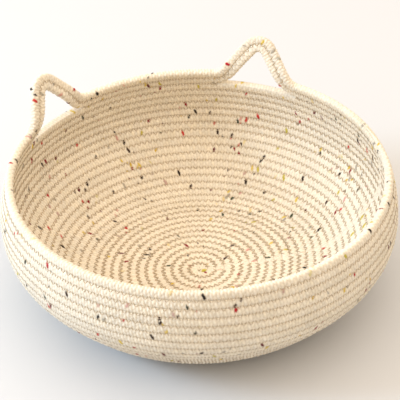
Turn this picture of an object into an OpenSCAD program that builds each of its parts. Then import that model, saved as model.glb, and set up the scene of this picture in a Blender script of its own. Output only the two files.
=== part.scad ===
// Coiled rope pet basket with two cat-ear loops on the rim.
// One cotton rope is laid round and round and sewn edge to edge: a flat base, a bowl wall and a
// rim whose last two courses lift off the wall twice, at the back, to make the ears.
// Millimetres, +Z up, origin on the floor at the centre of the base, the ears on the +Y side.

/* [Overall] */
// outside diameter at the widest course
overall_d = 400; // [330:5:480]
// thickness of the rope
rope_d = 8.5; // [7:0.1:10.2]
// space left between neighbouring courses for the sewing thread
seam_gap = 0.3; // [0.25:0.05:0.5]
// how far each face of the base rope is pressed flat
base_press = 0.4; // [0.2:0.1:0.8]

/* [Wall] */
// slope of the wall where the round underside ends, from level
lower_slope = 46.5; // [38:0.5:52]
// slope of the wall where the flank ends
flank_slope = 51; // [50:0.5:62]
// slope of the wall at its widest course
belly_slope = 91; // [88:0.5:93]
// slope of the wall at the rim, over 90 leans inward
rim_slope = 108; // [96:1:112]

/* [Ears] */
// angle between the middles of the two ears, seen from above
ear_spacing = 74; // [60:1:88]
// width of an ear between the places where its rope leaves the rim
ear_span = 100; // [83:1:120]
// height of an ear from the rim to the middle of its strap
ear_height = 43; // [35:1:52]
// slope of the raised ear, from level, under 90 leans outward
ear_slope = 62; // [55:1:85]
// radius of the hollow curve at each foot of an ear
ear_foot_r = 13; // [10:0.5:16]
// inside radius of the window under the tip of an ear
ear_tip_r = 3.4; // [2:0.1:5]
// length over which an ear bends from the rim slope to its own slope
ear_bend = 17.6; // [14:0.1:24]

/* [Thread] */
// thickness of the sewing thread
thread_d = 1.2; // [0.8:0.1:1.6]

/* [Hidden] */
$fn = 96;
pitch = rope_d + seam_gap;
lower_n = 7;
flank_n = 4;
belly_n = 4;
upper_n = 5;
wall_n = lower_n + flank_n + belly_n + upper_n;
top = wall_n;
under_top = wall_n - 1;

// slope of the step from one wall course to the next, at step position s
function slope(s) = lookup(s, [
    [0, 0],
    [lower_n, lower_slope],
    [lower_n + flank_n, flank_slope],
    [lower_n + flank_n + belly_n, belly_slope],
    [wall_n, rim_slope]
]);
// running outward and upward distances of the wall courses from the edge of the base
outs = [for (i = 0, x = 0; i <= wall_n; i = i + 1, x = x + pitch * cos(slope(i - 0.5))) x];
ups = [for (i = 0, z = 0; i <= wall_n; i = i + 1, z = z + pitch * sin(slope(i - 0.5))) z];
base_z = rope_d / 2 - base_press;
edge_r = overall_d / 2 - rope_d / 2 - max(outs);
// turns of the base, spaced evenly; the first one may open a little so that the others lie close
base_turns = floor((edge_r - 0.56 * pitch) / pitch);
first_r = min(0.85 * pitch, edge_r - base_turns * pitch);
base_pitch = (edge_r - first_r) / base_turns;
base_thread_d = max(thread_d, base_pitch - rope_d + 0.7);

// radius and height of the rope centre on wall course i, course 0 is the edge of the base
function course_r(i) = edge_r + outs[i];
function course_z(i) = base_z + ups[i];

// the sewn groove: the thread bead rests on both ropes, this far from the line of their centres
function groove(spacing, bead) = sqrt(pow((rope_d + bead) / 2, 2) - pow(spacing / 2, 2));
bead_off = groove(pitch, thread_d);

// ears: the developed strap, u along the rim and v up the wall from between the two rim courses
strap_foot_r = ear_foot_r + rope_d / 2 + pitch / 2;
strap_tip_r = ear_tip_r + rope_d / 2 + pitch / 2;
half_span = ear_span / 2;
rise = ear_height - strap_tip_r - strap_foot_r;
lift = atan2(rise, half_span) + asin((strap_foot_r + strap_tip_r) / norm([half_span, rise]));
foot_cut = 10;
arc_steps = 9;
leg_steps = 5;
strap_sides = 16;
mid_r = (course_r(under_top) + course_r(top)) / 2;
mid_z = (course_z(under_top) + course_z(top)) / 2;
wall_dir = atan2(course_z(top) - course_z(under_top), course_r(top) - course_r(under_top));
bend_from = pitch / 2;
bend_r = ear_bend / ((wall_dir - ear_slope) * PI / 180);
// where the moving ear starts, and the rim courses stop, either side of the ear middle
cut_u = half_span - strap_foot_r * sin(foot_cut);
cut_angle = cut_u / mid_r * 180 / PI;
function rope_reach(side) = half_span - (strap_foot_r - (side * pitch + rope_d) / 2) * sin(foot_cut);
// the cut ends swing past the rim ropes when the ear folds in or out, so the rim stops this much sooner
function swing(side) = (pitch + rope_d) / 2 * sin(cut_angle) * sin(side > 0 ? 45 : 30);
function stop_at(side) = (rope_reach(side) + swing(side) + seam_gap + 0.1) / mid_r * 180 / PI;
stop_angle = stop_at(1);
function stop_of(i) = i == top ? stop_angle : stop_at(-1);
left_at = 90 + ear_spacing / 2;
right_at = 90 - ear_spacing / 2;

rope_colour = [0.87, 0.78, 0.64];
rim_colour = [0.9, 0.82, 0.69];
thread_colour = [0.78, 0.68, 0.53];

// ---- strap path helpers ----

// half of the strap path, offset by o from its middle line: points of [u, v, heading]
function half_path(o) = concat(
    [for (k = [0 : arc_steps])
        let (a = foot_cut + (lift - foot_cut) * k / arc_steps, q = strap_foot_r - o)
        [-half_span + q * sin(a), strap_foot_r - q * cos(a), a]],
    [for (k = [1 : leg_steps - 1])
        let (f = k / leg_steps, p0 = foot_end(o), p1 = tip_start(o))
        [p0[0] + (p1[0] - p0[0]) * f, p0[1] + (p1[1] - p0[1]) * f, lift]],
    [for (k = [0 : arc_steps])
        let (a = lift * (1 - k / arc_steps), q = strap_tip_r + o)
        [-q * sin(a), ear_height - strap_tip_r + q * cos(a), a]]
);
function foot_end(o) =
    [-half_span + (strap_foot_r - o) * sin(lift), strap_foot_r - (strap_foot_r - o) * cos(lift)];
function tip_start(o) =
    [-(strap_tip_r + o) * sin(lift), ear_height - strap_tip_r + (strap_tip_r + o) * cos(lift)];
// the whole strap path, left half and its mirror image
function full_path(o) =
    let (h = half_path(o), n = len(h))
    concat(h, [for (k = [n - 2 : -1 : 0]) [-h[k][0], h[k][1], -h[k][2]]]);

// slope of the ear surface at height v up the developed strap
function ear_dir(v) =
    wall_dir - (min(max(v, bend_from), bend_from + ear_bend) - bend_from) / bend_r * 180 / PI;
function ear_r(v) =
    mid_r + min(v, bend_from) * cos(wall_dir) + bend_r * (sin(wall_dir) - sin(ear_dir(v)))
    + max(v - bend_from - ear_bend, 0) * cos(ear_slope);
function ear_z(v) =
    mid_z + min(v, bend_from) * sin(wall_dir) + bend_r * (cos(ear_dir(v)) - cos(wall_dir))
    + max(v - bend_from - ear_bend, 0) * sin(ear_slope);
// a strap point laid on the ear surface, at angle a0 around the rim
function on_ear(u, v, a0) =
    let (a = a0 - u / mid_r * 180 / PI)
    [ear_r(v) * cos(a), ear_r(v) * sin(a), ear_z(v)];

// one ring of strap section points
function ring_at(w, a0, rad) =
    let (
        a = a0 - w[0] / mid_r * 180 / PI,
        t = ear_dir(w[1]),
        along = [sin(a), -cos(a), 0],
        up = [cos(t) * cos(a), cos(t) * sin(a), sin(t)],
        across = cross(along, up),
        side = cos(w[2]) * up - sin(w[2]) * along,
        c = on_ear(w[0], w[1], a0)
    )
    [for (k = [0 : strap_sides - 1])
        c + rad * (cos(k * 360 / strap_sides) * side + sin(k * 360 / strap_sides) * across)];

// a round bar that follows a strap path
module strap(path, a0, rad) {
    n = len(path);
    m = strap_sides;
    points = [for (w = path) each ring_at(w, a0, rad)];
    sides = [for (i = [0 : n - 2], k = [0 : m - 1])
        let (a = i * m + k, b = i * m + (k + 1) % m)
        each [[a, b, b + m], [a, b + m, a + m]]];
    start_cap = [for (k = [m - 1 : -1 : 0]) k];
    end_cap = [for (k = [0 : m - 1]) (n - 1) * m + k];
    polyhedron(points, concat(sides, [start_cap, end_cap]), convexity = 6);
}

// ---- course and stitch helpers ----

// a closed course of rope
module ring(r, z) {
    translate([0, 0, z]) rotate_extrude() translate([r, 0]) circle(d = rope_d);
}

// a course of rope that runs from angle a0 to angle a1
module arc(r, z, a0, a1) {
    translate([0, 0, z]) rotate([0, 0, a0])
        rotate_extrude(angle = a1 - a0) translate([r, 0]) circle(d = rope_d);
}

// half the outline of a row of stitches: the thread between the ropes and a six-sided bead on them
function stitch_outline(spacing, bead_d) =
    let (
        off = groove(spacing, bead_d),
        web = (spacing - rope_d - 0.06) / 2,
        q = bead_d / 2,
        g = asin(2 * off / (rope_d + bead_d)),
        step = (180 + 2 * g) / 4,
        low = (90 - g) / 2,
        turns = [for (k = [0 : 3]) (k + 0.5) * step - g],
        bead = [for (w = turns) q / cos(step / 2) * [cos(w), sin(w)]],
        right_end = (q / cos(low)) * [cos(-g - low), sin(-g - low)],
        left_end = [-right_end[0], right_end[1]]
    )
    [for (w = concat([[web, -q], right_end], bead, [left_end, [-web, -q]])) [w[0], w[1] + off]];

// section of a row of stitches: a bead in each groove and the thread between them
module stitch_section(r, z, tilt, spacing = pitch, bead_d = thread_d) {
    half = stitch_outline(spacing, bead_d);
    translate([r, z]) rotate([0, 0, tilt]) polygon(concat(half, [for (w = half) -w]));
}

// section of the row of stitches under wall course i
module seam_section(i) {
    stitch_section(
        (course_r(i - 1) + course_r(i)) / 2,
        (course_z(i - 1) + course_z(i)) / 2,
        slope(i - 0.5)
    );
}

// the two rim courses are broken at both ears
module front_arc(i) {
    arc(course_r(i), course_z(i), left_at + stop_of(i), right_at - stop_of(i) + 360);
}

module back_arc(i) {
    arc(course_r(i), course_z(i), right_at + stop_of(i), left_at - stop_of(i));
}

// ---- sub-parts ----

// flat coil of the base, its rope pressed flat above and below
module base_coil() {
    color(rope_colour)
        translate([0, 0, base_z]) {
            for (k = [0 : base_turns]) {
                rotate_extrude() translate([first_r + k * base_pitch, 0]) intersection() {
                    circle(d = rope_d);
                    square([2 * rope_d, 2 * base_z], center = true);
                }
            }
        }
}

module wall_course(i) {
    color(rope_colour) ring(course_r(i), course_z(i));
}

module wall_course_01() { wall_course(1); }
module wall_course_02() { wall_course(2); }
module wall_course_03() { wall_course(3); }
module wall_course_04() { wall_course(4); }
module wall_course_05() { wall_course(5); }
module wall_course_06() { wall_course(6); }
module wall_course_07() { wall_course(7); }
module wall_course_08() { wall_course(8); }
module wall_course_09() { wall_course(9); }
module wall_course_10() { wall_course(10); }
module wall_course_11() { wall_course(11); }
module wall_course_12() { wall_course(12); }
module wall_course_13() { wall_course(13); }
module wall_course_14() { wall_course(14); }
module wall_course_15() { wall_course(15); }
module wall_course_16() { wall_course(16); }
module wall_course_17() { wall_course(17); }
module wall_course_18() { wall_course(18); }

module rim_lower_front() { color(rim_colour) front_arc(under_top); }
module rim_lower_back() { color(rim_colour) back_arc(under_top); }
module rim_upper_front() { color(rim_colour) front_arc(top); }
module rim_upper_back() { color(rim_colour) back_arc(top); }

// the rope that runs over an ear, lower side (nearer the window) and upper side
module ear_lower(a0) { color(rim_colour) strap(full_path(-pitch / 2), a0, rope_d / 2); }
module ear_upper(a0) { color(rim_colour) strap(full_path(pitch / 2), a0, rope_d / 2); }

module ear_left_lower() { ear_lower(left_at); }
module ear_left_upper() { ear_upper(left_at); }
module ear_right_lower() { ear_lower(right_at); }
module ear_right_upper() { ear_upper(right_at); }

// rows of stitches between the turns of the base
module base_stitching() {
    color(thread_colour) for (k = [1 : base_turns]) {
        rotate_extrude()
            stitch_section(first_r + (k - 0.5) * base_pitch, base_z, 0, base_pitch, base_thread_d);
    }
}

// rows of stitches that join each wall course to the one below
module wall_stitching() {
    color(thread_colour) for (i = [1 : under_top - 1]) rotate_extrude() seam_section(i);
}

// rows of stitches that join the two rim courses
module rim_stitching() {
    front = right_at - left_at - 2 * stop_angle + 360;
    back = left_at - right_at - 2 * stop_angle;
    color(thread_colour) for (i = [under_top, top]) {
        rotate([0, 0, left_at + stop_angle]) rotate_extrude(angle = front) seam_section(i);
        rotate([0, 0, right_at + stop_angle]) rotate_extrude(angle = back) seam_section(i);
    }
}

// the row of stitches between the two ropes of an ear, seen as a bead inside and a bead outside
module ear_stitching(a0) {
    color(thread_colour) for (s = [-1, 1]) ear_bead(a0, s * (bead_off + 0.03));
}

// one thread bead along the middle of the strap, set off from the ear surface
module ear_bead(a0, off) {
    n = strap_sides / 2;
    path = full_path(0);
    points = [for (w = path) each bead_ring(w, a0, off, n)];
    sides = [for (i = [0 : len(path) - 2], k = [0 : n - 1])
        let (a = i * n + k, b = i * n + (k + 1) % n)
        each [[a, b, b + n], [a, b + n, a + n]]];
    start_cap = [for (k = [n - 1 : -1 : 0]) k];
    end_cap = [for (k = [0 : n - 1]) (len(path) - 1) * n + k];
    polyhedron(points, concat(sides, [start_cap, end_cap]), convexity = 6);
}

function bead_ring(w, a0, off, n) =
    let (
        a = a0 - w[0] / mid_r * 180 / PI,
        t = ear_dir(w[1]),
        along = [sin(a), -cos(a), 0],
        up = [cos(t) * cos(a), cos(t) * sin(a), sin(t)],
        across = cross(along, up),
        side = cos(w[2]) * up - sin(w[2]) * along,
        c = on_ear(w[0], w[1], a0) + off * across
    )
    [for (k = [0 : n - 1])
        c + thread_d / 2 * (cos(k * 360 / n) * side + sin(k * 360 / n) * across)];

module ear_left_stitching() { ear_stitching(left_at); }
module ear_right_stitching() { ear_stitching(right_at); }

base_coil();
wall_course_01();
wall_course_02();
wall_course_03();
wall_course_04();
wall_course_05();
wall_course_06();
wall_course_07();
wall_course_08();
wall_course_09();
wall_course_10();
wall_course_11();
wall_course_12();
wall_course_13();
wall_course_14();
wall_course_15();
wall_course_16();
wall_course_17();
wall_course_18();
rim_lower_front();
rim_lower_back();
rim_upper_front();
rim_upper_back();
ear_left_lower();
ear_left_upper();
ear_right_lower();
ear_right_upper();
base_stitching();
wall_stitching();
rim_stitching();
ear_left_stitching();
ear_right_stitching();
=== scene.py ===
import math
import bpy
import numpy as np
from mathutils import Matrix, Vector


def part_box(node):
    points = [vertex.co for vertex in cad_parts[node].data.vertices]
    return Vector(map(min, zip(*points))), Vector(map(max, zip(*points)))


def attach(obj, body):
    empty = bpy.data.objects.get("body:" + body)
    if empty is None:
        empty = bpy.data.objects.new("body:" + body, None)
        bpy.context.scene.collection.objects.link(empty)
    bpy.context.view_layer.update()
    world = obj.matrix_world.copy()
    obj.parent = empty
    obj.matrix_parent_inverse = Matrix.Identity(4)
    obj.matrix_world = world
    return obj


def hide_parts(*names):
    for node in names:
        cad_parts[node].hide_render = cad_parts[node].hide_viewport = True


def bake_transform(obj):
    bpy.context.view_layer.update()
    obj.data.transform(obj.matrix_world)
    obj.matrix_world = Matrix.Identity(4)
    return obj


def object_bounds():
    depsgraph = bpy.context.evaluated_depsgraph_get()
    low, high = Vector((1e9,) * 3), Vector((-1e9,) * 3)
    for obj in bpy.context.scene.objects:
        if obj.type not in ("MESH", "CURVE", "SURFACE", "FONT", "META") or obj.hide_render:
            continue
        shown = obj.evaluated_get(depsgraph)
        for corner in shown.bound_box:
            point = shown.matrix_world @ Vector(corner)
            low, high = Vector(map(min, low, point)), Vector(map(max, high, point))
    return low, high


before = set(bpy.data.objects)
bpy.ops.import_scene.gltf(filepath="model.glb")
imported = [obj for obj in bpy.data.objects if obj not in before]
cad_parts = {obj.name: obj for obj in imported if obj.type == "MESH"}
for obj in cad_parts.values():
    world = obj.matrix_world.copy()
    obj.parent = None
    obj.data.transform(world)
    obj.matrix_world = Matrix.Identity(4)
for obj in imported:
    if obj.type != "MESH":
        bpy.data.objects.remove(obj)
cad_low, cad_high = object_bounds()
TURN = 2 * math.pi


def rad(degrees):
    """Degrees as radians."""
    return degrees * math.pi / 180.0


# ---------------------------------------------------------------------------
# the coil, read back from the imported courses
# ---------------------------------------------------------------------------
WALL_N = 18


def ring_of(node):
    """Radius and height of a round course's rope centre, from its box."""
    lo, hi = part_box(node)
    r = (hi.z - lo.z) / 2
    return (hi.x - lo.x) / 4 + (hi.y - lo.y) / 4 - r, (hi.z + lo.z) / 2, r


rings = [ring_of(f"wall_course_{i:02d}") for i in range(1, WALL_N + 1)]
ROPE_R = rings[0][2]
base_lo, base_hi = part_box("base_coil")
BASE_R = (base_hi.x - base_lo.x) / 2 - ROPE_R
BASE_Z = (base_hi.z + base_lo.z) / 2
PRESS = (base_hi.z - base_lo.z) / 2


def rim_of(node):
    """Radius and height of a rim turn's rope centre; the front piece spans the whole width."""
    lo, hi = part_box(node)
    return (hi.x - lo.x) / 2 - ROPE_R, (hi.z + lo.z) / 2


rim_low, rim_top = rim_of("rim_lower_front"), rim_of("rim_upper_front")
COURSES = np.array(
    [[BASE_R, BASE_Z]] + [[a, b] for a, b, _ in rings] + [list(rim_low), list(rim_top)]
)
TOP = len(COURSES) - 1
PITCH = float(np.hypot(*(COURSES[2] - COURSES[1])))
BASE_TURNS = int((BASE_R - 0.56 * PITCH) / PITCH)
FIRST_R = min(0.85 * PITCH, BASE_R - BASE_TURNS * PITCH)
BASE_PITCH = (BASE_R - FIRST_R) / BASE_TURNS


def at_level(x):
    """Rope centre (radius, height) at a level of the coil; 0 is the base edge, TOP the rim."""
    x = np.asarray(x, float)
    i = np.clip(np.floor(x), 0, TOP - 1).astype(int)
    f = x - i
    p = COURSES[i] + (COURSES[i + 1] - COURSES[i]) * f[..., None]
    flat = np.stack([BASE_R + BASE_PITCH * x, np.full_like(x, BASE_Z)], -1)
    return np.where((x < 0)[..., None], flat, p)


def wall_dir(x):
    """Unit vector (outward, up) along the wall at a level."""
    d = at_level(np.asarray(x, float) + 0.5) - at_level(np.asarray(x, float) - 0.5)
    return d / np.linalg.norm(d, axis=-1, keepdims=True)


# the coil climbs one course in a short stretch at one side, wider towards the centre
CLIMB_AT = rad(-4)
CLIMB_NARROW = rad(34)
CLIMB_WIDE = rad(358)
CLIMB_SPREAD = 1.3    # above 1, the climb widens later, nearer the centre


def climb_width(level):
    """Angle over which the coil climbs at a level."""
    share = np.clip(-np.asarray(level, float) / BASE_TURNS, 0, 1)
    return CLIMB_NARROW + (CLIMB_WIDE - CLIMB_NARROW) * share ** CLIMB_SPREAD


def ease(t):
    """Smooth step from 0 to 1."""
    t = np.clip(t, 0, 1)
    return t * t * (3 - 2 * t)


def level_of(course, a):
    """Level along one turn, a runs from 0 to 2 pi after the middle of the climb."""
    w_in = climb_width(course - 0.5)
    w_out = climb_width(course + 0.5)
    return (
        course
        - 1
        + ease(a / w_in + 0.5)
        + ease((a - TURN) / w_out + 0.5)
    )


# ---------------------------------------------------------------------------
# ears: the strap is laid on the surface that carries on from the rim
# ---------------------------------------------------------------------------
SPACING = rad(74)
SPAN = 0.050
HEIGHT = 0.043
EAR_SLOPE = rad(62)
FOOT_R = 0.013 + ROPE_R + PITCH / 2
TIP_R = 0.0034 + ROPE_R + PITCH / 2
BEND = 0.0176
MID_R, MID_Z = (COURSES[TOP] + COURSES[TOP - 1]) / 2
RIM_DIR = math.atan2(
    COURSES[TOP][1] - COURSES[TOP - 1][1], COURSES[TOP][0] - COURSES[TOP - 1][0]
)
BEND_FROM = PITCH / 2
BEND_R = BEND / (RIM_DIR - EAR_SLOPE)
EARS = {"right": math.pi / 2 - SPACING / 2, "left": math.pi / 2 + SPACING / 2}
_rise = HEIGHT - TIP_R - FOOT_R
LIFT = math.atan2(_rise, SPAN) + math.asin((FOOT_R + TIP_R) / math.hypot(SPAN, _rise))
EAR_ANGLE = SPAN / MID_R


def ear_dir(v):
    """Slope of the ear's surface at height v up it: the rim's, then bent to the ear's own."""
    return RIM_DIR - (np.clip(v, BEND_FROM, BEND_FROM + BEND) - BEND_FROM) / BEND_R


def ear_point(v):
    """Radius and height of the ear's surface at height v up it."""
    t = ear_dir(v)
    over = np.maximum(v - BEND_FROM - BEND, 0)
    r = MID_R + np.minimum(v, BEND_FROM) * math.cos(RIM_DIR)
    r = r + BEND_R * (math.sin(RIM_DIR) - np.sin(t)) + over * math.cos(EAR_SLOPE)
    z = MID_Z + np.minimum(v, BEND_FROM) * math.sin(RIM_DIR)
    z = z + BEND_R * (np.cos(t) - math.cos(RIM_DIR)) + over * math.sin(EAR_SLOPE)
    return r, z


def ear_path(off, step):
    """Strap path in the developed plane at an offset: u, v and heading, left to right."""
    parts = []
    q = FOOT_R - off
    a = np.linspace(0, LIFT, max(6, int(q * LIFT / step)))
    parts.append(np.stack([-SPAN + q * np.sin(a), FOOT_R - q * np.cos(a), a], -1))
    q = TIP_R + off
    tip = np.array([-q * math.sin(LIFT), HEIGHT - TIP_R + q * math.cos(LIFT)])
    foot = parts[0][-1, :2]
    n = max(4, int(np.hypot(*(tip - foot)) / step))
    f = np.linspace(0, 1, n + 1)[1:-1, None]
    leg = foot + (tip - foot) * f
    parts.append(np.concatenate([leg, np.full((len(leg), 1), LIFT)], 1))
    a = np.linspace(LIFT, 0, max(6, int(q * LIFT / step)))
    parts.append(np.stack([-q * np.sin(a), HEIGHT - TIP_R + q * np.cos(a), a], -1))
    half = np.concatenate(parts)
    other = half[::-1][1:] * [-1, 1, -1]
    return np.concatenate([half, other])


def frames_on_ear(path, middle):
    """Centres and section axes for a strap path, in the direction the coil runs."""
    w = path[::-1]
    a = middle - w[:, 0] / MID_R
    t = ear_dir(w[:, 1])
    r, z = ear_point(w[:, 1])
    c = np.stack([r * np.cos(a), r * np.sin(a), z], -1)
    along = np.stack([np.sin(a), -np.cos(a), 0 * a], -1)
    up = np.stack([np.cos(t) * np.cos(a), np.cos(t) * np.sin(a), np.sin(t)], -1)
    side = np.cos(w[:, 2])[:, None] * up - np.sin(w[:, 2])[:, None] * along
    out = -np.cross(along, up)
    return c, side, out


def frames_on_coil(levels, a):
    """Centres and section axes on the coil at the given levels and angles round the bowl."""
    p = at_level(levels)
    d = wall_dir(levels)
    ca, sa = np.cos(a + CLIMB_AT), np.sin(a + CLIMB_AT)
    c = np.stack([p[:, 0] * ca, p[:, 0] * sa, p[:, 1]], -1)
    side = np.stack([d[:, 0] * ca, d[:, 0] * sa, d[:, 1]], -1)
    out = np.stack([d[:, 1] * ca, d[:, 1] * sa, -d[:, 0]], -1)
    return c, side, out


# ---------------------------------------------------------------------------
# the plait
# ---------------------------------------------------------------------------
LAY = 0.0262          # length in which one strand goes once round the rope
STEP = LAY / 34       # spacing of the rings of mesh along the rope
AROUND = 28           # points round each ring of mesh
CORE = 0.00236        # radius under the strands
WAVE = 0.00078        # how far a strand rises over the one it crosses, and dips under it
STRAND = 0.00132      # how far a strand stands up
STRAND_W = 0.00221    # half the width of a strand
OVER = 0.00006        # overlap where ropes are pressed flat against each other at the seams
SIDE_Y = 0.00345      # half the height of the flat where two ropes meet
SQUARE = 2.9          # roundness of the section: 2 is a circle, more is squarer
PLAIT_R = 0.0036      # radius at which the strands run
PLAIT_COS = math.cos(math.atan(2 * math.pi * PLAIT_R / LAY))
HIGHEST = CORE + WAVE + STRAND


def hash01(*parts):
    """Repeatable pseudo-random numbers from 0 to 1 for whole-number keys."""
    x = np.zeros_like(np.asarray(parts[0], np.int64)) + 1013904223
    for k, p in enumerate(parts):
        x = (x ^ (np.asarray(p, np.int64) * (374761393 + 668265263 * k))) & 0xFFFFFFFF
        x = (x * 2246822519 + 3266489917) & 0xFFFFFFFF
        x = x ^ (x >> 15)
        x = (x * 3266489917) & 0xFFFFFFFF
        x = x ^ (x >> 13)
    return (x & 0xFFFFFF) / float(0x1000000)


# stray fibres: reds, maroon, dark browns, dark greens and mustards; the browns are commonest
FLECKS = np.array(
    [
        [0.42, 0.012, 0.020],
        [0.50, 0.03, 0.022],
        [0.24, 0.008, 0.014],
        [0.11, 0.006, 0.010],
        [0.030, 0.014, 0.009],
        [0.022, 0.012, 0.008],
        [0.014, 0.009, 0.007],
        [0.045, 0.022, 0.013],
        [0.040, 0.055, 0.026],
        [0.055, 0.060, 0.040],
        [0.60, 0.40, 0.045],
        [0.66, 0.49, 0.10],
        [0.50, 0.42, 0.07],
    ]
)
FLECK_SHARE = 0.037   # share of raised strands that carry one
FLECK_TWICE = 0.35    # share of those that show again on the next rise
FLECK_FAINT = 0.22    # share of flecks that are half hidden
CREAM = np.array([0.86, 0.785, 0.65])
HOLLOW_PAINTED_SHADE = np.array([0.40, 0.47, 0.54])  # painted shade: what the deepest hollows lose of red, green, blue


def plait(phi, s):
    """The sheath at section angle phi and length s: its height, and which strand lies on top there,
    counted round (strand) and along (m), with the place across and along that strand."""
    quarter = math.pi / 2
    beat = np.cos(2 * math.pi * s / (LAY / 4))
    found = []
    for sign in (1, -1):
        turn = phi - sign * 2 * math.pi * s / LAY
        near = np.round(turn / quarter)
        across = (turn - near * quarter) * PLAIT_R * PLAIT_COS
        rise = CORE + sign * WAVE * beat
        h = rise + STRAND * np.sqrt(np.clip(1 - (across / STRAND_W) ** 2, 0, 1))
        late = 0 if sign > 0 else 0.5
        m = np.round(s / (LAY / 4) - late)
        along = (s - (m + late) * LAY / 4) / PLAIT_COS
        found.append((h, near.astype(np.int64) % 4, m.astype(np.int64), across, along))
    top = found[0][0] >= found[1][0]
    h = np.where(top, found[0][0], found[1][0])
    strand = np.where(top, found[0][1], found[1][1] + 7919)
    m = np.where(top, found[0][2], found[1][2])
    across = np.where(top, found[0][3], found[1][3])
    along = np.where(top, found[0][4], found[1][4])
    return h, top, strand, m, across, along


def rope_colour(h, top, strand, m, across, along, s, seed):
    """Cream cotton with painted shade darkening the hollows between strands, and ragged coloured
    flecks on some strands.
    """
    tone = 0.95 + 0.09 * hash01(strand, m, m * 0 + seed)
    warm = hash01(strand, m // 5, m * 0 + seed + 5)
    drift = 0.985 + 0.02 * np.sin(s * 21.0 + seed) + 0.015 * np.sin(s * 57.0 + 2 * seed)
    col = CREAM * (tone * drift)[..., None]
    col = col * (1 + (warm - 0.5)[..., None] * np.array([0.02, 0.0, -0.05]))
    # painted shade: the colour darkens and warms the lower the surface sits between the raised
    # strands
    hollow_shade = np.clip((CORE + STRAND + WAVE - h) / (STRAND + WAVE), 0, 1)
    col = col * (1 - hollow_shade[..., None] ** 1.3 * HOLLOW_PAINTED_SHADE)
    # stray coloured fibres: some raised plaits carry one, and some of those show twice
    pick = hash01(strand, m, m * 0 + 31)
    again = (hash01(strand, m - 1, m * 0 + 31) < FLECK_SHARE) & (
        hash01(strand, m - 1, m * 0 + 77) < FLECK_TWICE
    )
    has = (pick < FLECK_SHARE) | again
    key = np.where(pick < FLECK_SHARE, m, m - 1)
    size = np.where(pick < FLECK_SHARE, 1.0, 0.6)
    length = (0.0017 + 0.0013 * hash01(strand, key, m * 0 + 5)) * size
    width = (0.0013 + 0.0009 * hash01(strand, key, m * 0 + 9)) * size
    shift = (hash01(strand, key, m * 0 + 13) - 0.5) * 0.0012
    d = np.sqrt(((along - shift) / length) ** 2 + (across / width) ** 2)
    ragged = np.sin(along * 2900 + key * 1.7) + np.sin(across * 3700 + along * 1900 + key)
    faint = np.where(hash01(strand, key, m * 0 + 21) < FLECK_FAINT, 0.55, 1.0)
    cover = np.clip((1.22 + 0.16 * ragged - d) / 0.35, 0, 1) * has * faint
    which = (hash01(strand, key, m * 0 + 17) * len(FLECKS)).astype(int)
    fleck = FLECKS[np.clip(which, 0, len(FLECKS) - 1)]
    col = col * (1 - cover[..., None]) + fleck * cover[..., None]
    return np.clip(col, 0, 1)


def mesh_object(name, verts, quads, caps, colours, uvs, material):
    """A mesh of quads and end caps with its colours and strand coordinates."""
    me = bpy.data.meshes.new(name)
    loops = np.concatenate([quads.ravel()] + [np.asarray(c) for c in caps]).astype(np.int32)
    sizes = np.concatenate([np.full(len(quads), 4), [len(c) for c in caps]]).astype(np.int32)
    starts = np.concatenate([[0], np.cumsum(sizes)[:-1]]).astype(np.int32)
    me.vertices.add(len(verts))
    me.vertices.foreach_set("co", verts.astype(np.float32).ravel())
    me.loops.add(len(loops))
    me.loops.foreach_set("vertex_index", loops)
    me.polygons.add(len(sizes))
    me.polygons.foreach_set("loop_start", starts)
    me.update(calc_edges=True)
    me.polygons.foreach_set("use_smooth", np.full(len(sizes), True))
    attr = me.color_attributes.new("tint", "FLOAT_COLOR", "POINT")
    rgba = np.concatenate([colours, np.ones((len(colours), 1))], 1)
    attr.data.foreach_set("color", rgba.astype(np.float32).ravel())
    layer = me.attributes.new("strand", "FLOAT_VECTOR", "POINT")
    layer.data.foreach_set("vector", uvs.astype(np.float32).ravel())
    me.validate()
    ob = bpy.data.objects.new(name, me)
    bpy.context.scene.collection.objects.link(ob)
    me.materials.append(material)
    return ob


def pressed(h, P, fill, half):
    """The section as sewn: a little square, and flat where it meets a neighbour."""
    cos, sin = np.cos(P), np.abs(np.sin(P))
    h = h * (np.abs(cos) ** SQUARE + sin ** SQUARE) ** (-1 / SQUARE)
    flat = np.minimum((half + OVER) / np.maximum(np.abs(cos), 0.01), SIDE_Y / np.maximum(sin, 0.01))
    meets = ((cos > 0) & fill[1]) | ((cos < 0) & fill[0])
    return np.where(meets, np.maximum(h, flat), h)


def tube_arrays(c, side, out, s, scale, seed, flat, fill):
    """Vertices, quads, caps, colours and strand coordinates of one stretch of plaited rope."""
    n, m = len(c), AROUND
    phi = np.linspace(0, TURN, m, endpoint=False)
    twist = 0.25 * np.sin(s * 9.0) + 0.15 * np.sin(s * 31.0 + 1.0)
    P, S_ = np.meshgrid(phi, s)
    h, top, strand, mm, across, along = plait(P + twist[:, None], S_)
    col = rope_colour(h, top, strand, mm, across, along, S_, seed)
    rr = pressed(h, P, fill, (BASE_PITCH if flat else PITCH) / 2) * scale[:, None]
    x = rr * np.cos(P)
    y = rr * np.sin(P)
    if flat:
        y = y * PRESS / HIGHEST
    v = c[:, None] + x[..., None] * side[:, None] + y[..., None] * out[:, None]
    i, j = np.meshgrid(np.arange(n - 1), np.arange(m), indexing="ij")
    a = i * m + j
    b = i * m + (j + 1) % m
    quads = np.stack([a, b, b + m, a + m], -1).reshape(-1, 4)
    caps = [list(range(m))[::-1], [(n - 1) * m + k for k in range(m)]]
    own = 12.0 * hash01(strand, mm, mm * 0 + 3) + np.where(top, 15.0, 0.0)
    uv = np.stack([across, along, own], -1).reshape(-1, 3)
    return v.reshape(-1, 3), quads, caps, col.reshape(-1, 3), uv


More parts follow.
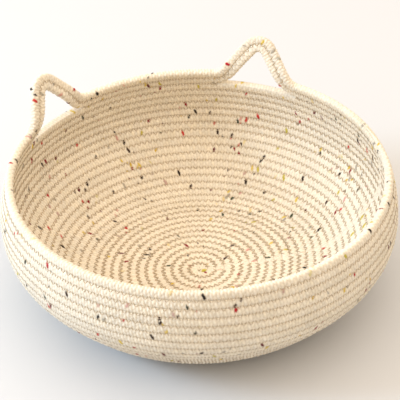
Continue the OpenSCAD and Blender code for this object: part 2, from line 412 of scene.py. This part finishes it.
def join_arrays(parts):
    """Several stretches as one set of arrays."""
    verts, quads, caps, cols, uvs, at = [], [], [], [], [], 0
    for v, q, cp, cl, uv in parts:
        verts.append(v)
        quads.append(q + at)
        caps += [[k + at for k in c] for c in cp]
        cols.append(cl)
        uvs.append(uv)
        at += len(v)
    return (
        np.concatenate(verts),
        np.concatenate(quads),
        caps,
        np.concatenate(cols),
        np.concatenate(uvs),
    )


# ---------------------------------------------------------------------------
# materials
# ---------------------------------------------------------------------------
def cotton(name, rough, sheen, fibre, bump_mm):
    """Cotton coloured by the mesh; fibre is the number of fibres in a metre across a strand."""
    mat = bpy.data.materials.new(name)
    mat.use_nodes = True
    nt = mat.node_tree
    nt.nodes.clear()
    out = nt.nodes.new("ShaderNodeOutputMaterial")
    bsdf = nt.nodes.new("ShaderNodeBsdfPrincipled")
    nt.links.new(bsdf.outputs["BSDF"], out.inputs["Surface"])
    bsdf.inputs["Roughness"].default_value = rough
    bsdf.inputs["Specular IOR Level"].default_value = 0.25
    bsdf.inputs["Sheen Weight"].default_value = sheen
    bsdf.inputs["Sheen Roughness"].default_value = 0.45
    bsdf.inputs["Sheen Tint"].default_value = (1.0, 0.96, 0.88, 1.0)
    tint = nt.nodes.new("ShaderNodeAttribute")
    tint.attribute_name = "tint"
    strand = nt.nodes.new("ShaderNodeAttribute")
    strand.attribute_name = "strand"
    # fibres run along each strand: noise stretched along it
    stretch = nt.nodes.new("ShaderNodeVectorMath")
    stretch.operation = "MULTIPLY"
    stretch.inputs[1].default_value = (fibre, fibre * 0.16, 3.0)
    nt.links.new(strand.outputs["Vector"], stretch.inputs[0])
    fibres = nt.nodes.new("ShaderNodeTexNoise")
    fibres.inputs["Scale"].default_value = 1.0
    fibres.inputs["Detail"].default_value = 3.0
    nt.links.new(stretch.outputs["Vector"], fibres.inputs["Vector"])
    place = nt.nodes.new("ShaderNodeTexCoord")
    blotch = nt.nodes.new("ShaderNodeTexNoise")
    blotch.inputs["Scale"].default_value = 38.0
    blotch.inputs["Detail"].default_value = 4.0
    nt.links.new(place.outputs["Object"], blotch.inputs["Vector"])
    vary = nt.nodes.new("ShaderNodeMapRange")
    vary.inputs["From Min"].default_value = 0.3
    vary.inputs["From Max"].default_value = 0.7
    vary.inputs["To Min"].default_value = 0.955
    vary.inputs["To Max"].default_value = 1.03
    nt.links.new(blotch.outputs["Fac"], vary.inputs["Value"])
    streak = nt.nodes.new("ShaderNodeMapRange")
    streak.inputs["From Min"].default_value = 0.3
    streak.inputs["From Max"].default_value = 0.7
    streak.inputs["To Min"].default_value = 0.93
    streak.inputs["To Max"].default_value = 1.04
    nt.links.new(fibres.outputs["Fac"], streak.inputs["Value"])
    both = nt.nodes.new("ShaderNodeMath")
    both.operation = "MULTIPLY"
    nt.links.new(vary.outputs["Result"], both.inputs[0])
    nt.links.new(streak.outputs["Result"], both.inputs[1])
    mix = nt.nodes.new("ShaderNodeVectorMath")
    mix.operation = "SCALE"
    nt.links.new(tint.outputs["Color"], mix.inputs[0])
    nt.links.new(both.outputs["Value"], mix.inputs["Scale"])
    nt.links.new(mix.outputs["Vector"], bsdf.inputs["Base Color"])
    bump = nt.nodes.new("ShaderNodeBump")
    bump.inputs["Strength"].default_value = 0.6
    bump.inputs["Distance"].default_value = bump_mm / 1000
    nt.links.new(fibres.outputs["Fac"], bump.inputs["Height"])
    nt.links.new(bump.outputs["Normal"], bsdf.inputs["Normal"])
    return mat


ROPE = cotton("cotton_rope", 0.92, 0.25, 4200.0, 0.16)
THREAD = cotton("cotton_thread", 0.8, 0.2, 5200.0, 0.05)


# ---------------------------------------------------------------------------
# pieces of rope
# ---------------------------------------------------------------------------
def even(c, s_start):
    """Running length along centres c, starting at s_start."""
    d = np.linalg.norm(np.diff(c, axis=0), axis=1)
    return s_start + np.concatenate([[0], np.cumsum(d)])


LENGTHS = {}  # angle and running length along each course; the thread keeps step with the plait


def coil_stretch(course, a0, a1, s_start):
    """Rope along one course from angle a0 to a1, starting at running length s_start."""
    radius = float(at_level(np.array([course]))[0, 0])
    n = max(8, int(abs(a1 - a0) * radius / STEP))
    a = np.linspace(a0, a1, n + 1)
    c, side, out = frames_on_coil(level_of(course, a), a)
    s = even(c, s_start)
    known = LENGTHS.get(course, (np.zeros(0), np.zeros(0)))
    LENGTHS[course] = (np.append(known[0], a[::8]), np.append(known[1], s[::8]))
    return c, side, out, s


def tail_stretch(s_start):
    """The end of the rope thins out on top of the course that climbs under it."""
    w = climb_width(TOP)
    a = TURN + np.linspace(-w / 2, w / 2, int(w * MID_R / STEP))
    g = ease((a - TURN) / w + 0.5)
    c, side, out = frames_on_coil(TOP + g / 2, a)
    return c, side, out, even(c, s_start), np.maximum(1 - g, 0.06)


def rope_piece(name, stretches, body, nodes, seed, flat=False, fill=(True, True)):
    """One named piece of rope; fill says which sides have a neighbour to press on: below, above."""
    parts = []
    for st in stretches:
        c, side, out, s = st[:4]
        scale = st[4] if len(st) > 4 else np.ones(len(c))
        parts.append(tube_arrays(c, side, out, s, scale, seed, flat, fill))
    v, q, caps, col, uv = join_arrays(parts)
    ob = mesh_object(name, v, q, caps, col, uv, ROPE)
    if body:
        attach(ob, body)
    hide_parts(*nodes)
    return ob


COIL_START = rad(-150)  # where on the innermost turn the rope begins
OUTER_TURNS = 4       # base turns in the outer of the two base pieces
s_now = 0.0
base_parts = []
for k in range(-BASE_TURNS, 1):
    first_turn = k == -BASE_TURNS
    st = coil_stretch(k, COIL_START if first_turn else 0.0, TURN, s_now)
    if first_turn:
        # the rope's own end, rounded, is tucked into the middle of the coil
        inward = np.clip(1 - (st[3] - st[3][0]) / (ROPE_R / 3), 0, 0.9)
        st = (*st, np.sqrt(1 - inward ** 2))
    s_now = float(st[3][-1])
    base_parts.append(st)
half = len(base_parts) - OUTER_TURNS
rope_piece("base_coil_inner", base_parts[:half], "basket", ["base_coil"], 2, True)
rope_piece("base_coil_outer", base_parts[half:], "basket", ["base_coil"], 2, True)
for i in range(1, WALL_N + 1):
    st = coil_stretch(i, 0.0, TURN, s_now)
    s_now = float(st[3][-1])
    name = f"wall_course_{i:02d}"
    rope_piece(f"rope_turn_{i:02d}", [st], "basket", [name], 3 + i)

# the angles round the coil at which each ear leaves the rim and comes back to it
r0, r1 = EARS["right"] - CLIMB_AT - EAR_ANGLE, EARS["right"] - CLIMB_AT + EAR_ANGLE
l0, l1 = EARS["left"] - CLIMB_AT - EAR_ANGLE, EARS["left"] - CLIMB_AT + EAR_ANGLE
ear_objects = []
for which, course, off in (("lower", TOP - 1, -PITCH / 2), ("upper", TOP, PITCH / 2)):
    first = coil_stretch(course, 0.0, r0, s_now)
    s_now = float(first[3][-1])
    path = ear_path(off, STEP)
    c, side, out = frames_on_ear(path, EARS["right"])
    ear_r = (c, side, out, even(c, s_now))
    s_now = float(ear_r[3][-1])
    back = coil_stretch(course, r1, l0, s_now)
    s_now = float(back[3][-1])
    c, side, out = frames_on_ear(path, EARS["left"])
    ear_l = (c, side, out, even(c, s_now))
    s_now = float(ear_l[3][-1])
    front = [first]
    if which == "lower":
        last = coil_stretch(course, l1, TURN, s_now)
        front.append(last)
        s_now = float(last[3][-1])
    else:
        last = coil_stretch(course, l1, TURN - climb_width(TOP) / 2, s_now)
        s_now = float(last[3][-1])
        front += [last, tail_stretch(s_now)]
    fill = (True, which == "lower")
    rope_piece(
        f"rim_{which}_front_rope", front, "basket", [f"rim_{which}_front"], 40, fill=fill
    )
    rope_piece(f"rim_{which}_back_rope", [back], "basket", [f"rim_{which}_back"], 41, fill=fill)
    for ear, st in (("right", ear_r), ("left", ear_l)):
        only = (which == "upper", which == "lower")
        ob = rope_piece(
            f"ear_{ear}_{which}_rope", [st], None, [f"ear_{ear}_{which}"], 42, fill=only
        )
        ear_objects.append((ob, ear))

# ---------------------------------------------------------------------------
# zigzag thread
# ---------------------------------------------------------------------------
ZIG_W = 0.0027        # how far the zigzag reaches to each side of the seam
THREAD_R = 0.00044
THREAD_SIDES = 5
THREAD_HIGH = 0.00372  # height of the thread over the middle of the seam
BITE = 0.0007         # how far it dips into the rope at each needle hole
# painted shade: the thread is a darker tan than the cream rope so that each seam reads as a shaded
# line
THREAD_SEAM_SHADE_COLOUR = np.array([0.58, 0.47, 0.335])


def thread_arrays(c, side, out, s, face):
    """A zigzag of thread along a seam, on one face of the two ropes, in step with the plait."""
    leg = LAY / 8
    first, last = math.ceil(s[0] / leg), math.floor(s[-1] / leg)
    at = np.arange(first * 4, last * 4 + 1) * leg / 4
    cc = np.stack([np.interp(at, s, c[:, k]) for k in range(3)], -1)
    ss = np.stack([np.interp(at, s, side[:, k]) for k in range(3)], -1)
    oo = np.stack([np.interp(at, s, out[:, k]) for k in range(3)], -1)
    tri = np.abs((at / leg) % 2 - 1) * 2 - 1
    jitter = 1 + 0.10 * np.sin(at * 811.0) + 0.08 * np.sin(at * 377.0)
    q = -ZIG_W * tri * jitter
    lift = THREAD_HIGH - BITE * np.abs(tri) ** 9
    path = cc + q[:, None] * ss + face * lift[:, None] * oo
    tan = np.gradient(path, axis=0)
    tan /= np.linalg.norm(tan, axis=1, keepdims=True)
    n1 = np.cross(tan, oo)
    n1 /= np.linalg.norm(n1, axis=1, keepdims=True)
    n2 = np.cross(tan, n1)
    m = THREAD_SIDES
    k = np.linspace(0, TURN, m, endpoint=False)
    v = (
        path[:, None]
        + THREAD_R * np.cos(k)[None, :, None] * n1[:, None]
        + THREAD_R * np.sin(k)[None, :, None] * n2[:, None]
    )
    n = len(path)
    i, j = np.meshgrid(np.arange(n - 1), np.arange(m), indexing="ij")
    a = i * m + j
    b = i * m + (j + 1) % m
    quads = np.stack([a, b, b + m, a + m], -1).reshape(-1, 4)
    caps = [list(range(m))[::-1], [(n - 1) * m + x for x in range(m)]]
    tone = 0.97 + 0.05 * np.sin(at * 140.0)
    col = THREAD_SEAM_SHADE_COLOUR * tone[:, None]
    col = np.repeat(col, m, 0)
    uv = np.stack([np.tile(k * THREAD_R, n), np.repeat(at, m), np.ones(n * m)], -1)
    return v.reshape(-1, 3), quads, caps, col, uv


def thread_piece(name, seams, body, nodes):
    """The zigzag thread of some seams, on both faces of each."""
    parts = []
    for c, side, out, s in seams:
        for face in (1, -1):
            parts.append(thread_arrays(c, side, out, s, face))
    v, q, caps, col, uv = join_arrays(parts)
    ob = mesh_object(name, v, q, caps, col, uv, THREAD)
    if body:
        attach(ob, body)
    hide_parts(*nodes)
    return ob


def seam_stretch(course, a0, a1):
    """The seam under a course, between it and the turn below."""
    radius = float(at_level(np.array([course - 0.5]))[0, 0])
    n = max(8, int(abs(a1 - a0) * radius / 0.002))
    a = np.linspace(a0, a1, n + 1)
    low, high = level_of(course - 1, a), level_of(course, a)
    c0, side, out = frames_on_coil(low, a)
    c1, side1, out1 = frames_on_coil(high, a)
    side = side + side1
    side /= np.linalg.norm(side, axis=1, keepdims=True)
    out = out + out1
    out /= np.linalg.norm(out, axis=1, keepdims=True)
    c = (c0 + c1) / 2
    return c, side, out, np.interp(a, *LENGTHS[course])


base_seams = [seam_stretch(k, 0.0, TURN) for k in range(-BASE_TURNS + 1, 1)]
thread_piece("stitches_base_rows", base_seams, "basket", ["base_stitching"])
for i in range(1, WALL_N + 1):
    thread_piece(
        f"stitches_row_{i:02d}", [seam_stretch(i, 0.0, TURN)], "basket", ["wall_stitching"]
    )
RUN_ON = 0.03         # the lower rim seam runs on this far, in radians, under each ear foot
for row, course in (("lower", TOP - 1), ("upper", TOP)):
    run_on = RUN_ON if row == "lower" else 0.0
    seams = [
        seam_stretch(course, 0.0, r0 + run_on),
        seam_stretch(course, r1 - run_on, l0 + run_on),
        seam_stretch(course, l1 - run_on, TURN),
    ]
    thread_piece(f"stitches_rim_{row}", seams, "basket", ["rim_stitching"])
for ear in ("right", "left"):
    c, side, out = frames_on_ear(ear_path(0.0, 0.001), EARS[ear])
    ob = thread_piece(
        f"stitches_ear_{ear}", [(c, side, out, even(c, 0.0))], None, [f"ear_{ear}_stitching"]
    )
    ear_objects.append((ob, ear))

# the ear pieces have no parent: their placement is baked into their meshes
for ob, ear in ear_objects:
    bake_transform(ob)

# ---------------------------------------------------------------------------
# floor, light, camera
# ---------------------------------------------------------------------------
FLOOR_SIZE = 12
FLOOR_GAP = 0.0004    # clear of the plait, which stands a little below the CAD base
FLOOR_COLOUR = (0.60, 0.615, 0.64, 1)
bpy.ops.mesh.primitive_plane_add(size=FLOOR_SIZE, location=(0, 0, cad_low.z - FLOOR_GAP))
floor = bpy.context.object
floor.name = "floor"
fmat = bpy.data.materials.new("pale_floor")
fmat.use_nodes = True
fb = fmat.node_tree.nodes["Principled BSDF"]
fb.inputs["Base Color"].default_value = FLOOR_COLOUR
fb.inputs["Roughness"].default_value = 0.95
fb.inputs["Specular IOR Level"].default_value = 0.1
floor.data.materials.append(fmat)

# the studio: warm light from all round, brighter from above
world = bpy.data.worlds.new("studio")
bpy.context.scene.world = world
world.use_nodes = True
bg = world.node_tree.nodes["Background"]
bg.inputs["Strength"].default_value = 1.0
wnt = world.node_tree
sky = wnt.nodes.new("ShaderNodeTexCoord")
height = wnt.nodes.new("ShaderNodeSeparateXYZ")
wnt.links.new(sky.outputs["Generated"], height.inputs["Vector"])
fade = wnt.nodes.new("ShaderNodeMapRange")
fade.inputs["From Min"].default_value = 0.0
fade.inputs["From Max"].default_value = 0.85
fade.inputs["To Min"].default_value = 0.15
fade.inputs["To Max"].default_value = 1.95
wnt.links.new(height.outputs["Z"], fade.inputs["Value"])
glow = wnt.nodes.new("ShaderNodeVectorMath")
glow.operation = "SCALE"
glow.inputs[0].default_value = (1.0, 0.868, 0.722)
wnt.links.new(fade.outputs["Result"], glow.inputs["Scale"])
wnt.links.new(glow.outputs["Vector"], bg.inputs["Color"])

AZ, EL, DIST = rad(-16.9), rad(37.26), 1.6
SENSOR = 36
LENS = 1570.1 / 400 * SENSOR
ROLL = rad(-1.09)
back = Vector((math.sin(AZ) * math.cos(EL), -math.cos(AZ) * math.cos(EL), math.sin(EL)))
right = Vector((math.cos(AZ), math.sin(AZ), 0))
up = right.cross(-back)
centre = Vector((0, 0, 0.07))
aim = centre + up * 0.0216 + right * 0.0008
cam_data = bpy.data.cameras.new("camera")
cam = bpy.data.objects.new("camera", cam_data)
bpy.context.scene.collection.objects.link(cam)
cam.location = centre + back * DIST
look = (aim - cam.location).to_track_quat("-Z", "Y").to_matrix()
cam.rotation_euler = (look @ Matrix.Rotation(ROLL, 3, "Z")).to_euler()
cam_data.lens = LENS
cam_data.sensor_width = SENSOR
cam_data.dof.use_dof = False
bpy.context.scene.camera = cam


def area(name, azimuth, elevation, distance, size, power, colour):
    """A square soft light; azimuth 0 is beside the camera's right, 90 behind the basket."""
    a = rad(azimuth) + AZ
    e = rad(elevation)
    d = Vector((math.cos(a) * math.cos(e), math.sin(a) * math.cos(e), math.sin(e)))
    light = bpy.data.lights.new(name, "AREA")
    light.shape = "SQUARE"
    light.size = size
    light.energy = power
    light.color = colour
    ob = bpy.data.objects.new(name, light)
    ob.location = centre + d * distance
    ob.rotation_euler = (-d).to_track_quat("-Z", "Y").to_euler()
    bpy.context.scene.collection.objects.link(ob)


area("key", 183, 26, 2.8, 0.9, 66, (0.56, 0.77, 1.0))

scene = bpy.context.scene
scene.view_settings.view_transform = "Standard"
scene.view_settings.look = "None"
scene.view_settings.exposure = 0.0
